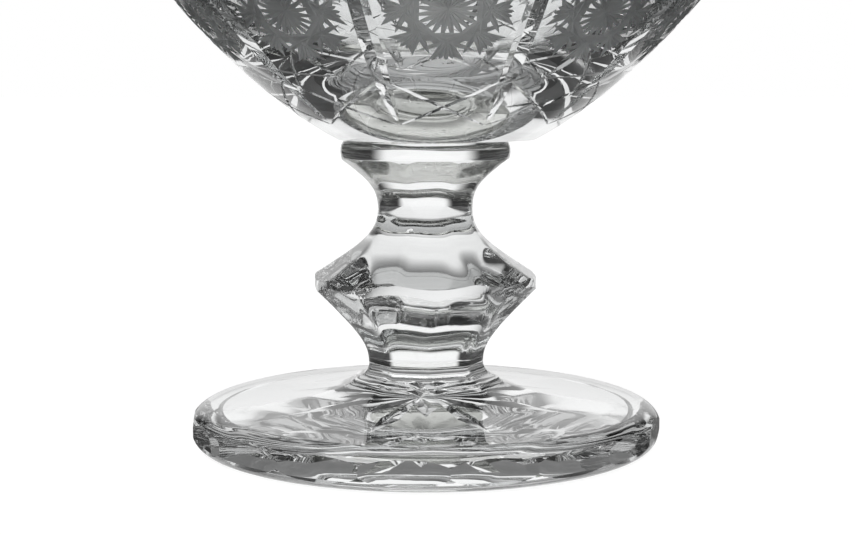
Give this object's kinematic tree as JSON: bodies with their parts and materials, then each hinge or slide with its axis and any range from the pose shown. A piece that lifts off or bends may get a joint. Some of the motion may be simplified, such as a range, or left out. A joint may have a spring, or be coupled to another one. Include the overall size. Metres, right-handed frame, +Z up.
{
  "type": "bonbonniere",
  "caption": "Footed cut-crystal bonbonniere: a fluted bowl bonded to a faceted knop stem and a round star-cut foot, with a lift-off domed lid and faceted knob.",
  "frame": {"origin": "on the axis of the bowl and lid, on the surface that the foot stands on", "axes": "+Z up along the axis of the bowl; -Y towards the front that the picture shows; the stem stands a little towards -X of the bowl's axis"},
  "size_m": [0.1644, 0.1644, 0.2282],
  "materials": {
    "crystal": "clear polished lead crystal with grey mitre cuts",
    "adhesive": "clear cured adhesive film"
  },
  "bodies": {
    "base": {"foot": "crystal", "foot_bond": "adhesive", "stem": "crystal", "bowl_bond": "adhesive", "bowl": "crystal"},
    "lid": {"lid": "crystal", "knob_bond": "adhesive", "lid_knob": "crystal"}
  },
  "joints": [
    {"name": "lid_lift", "type": "slide", "parent": "base", "child": "lid", "axis": [0, 0, 1], "range_m": [0, 0.12]}
  ]
}
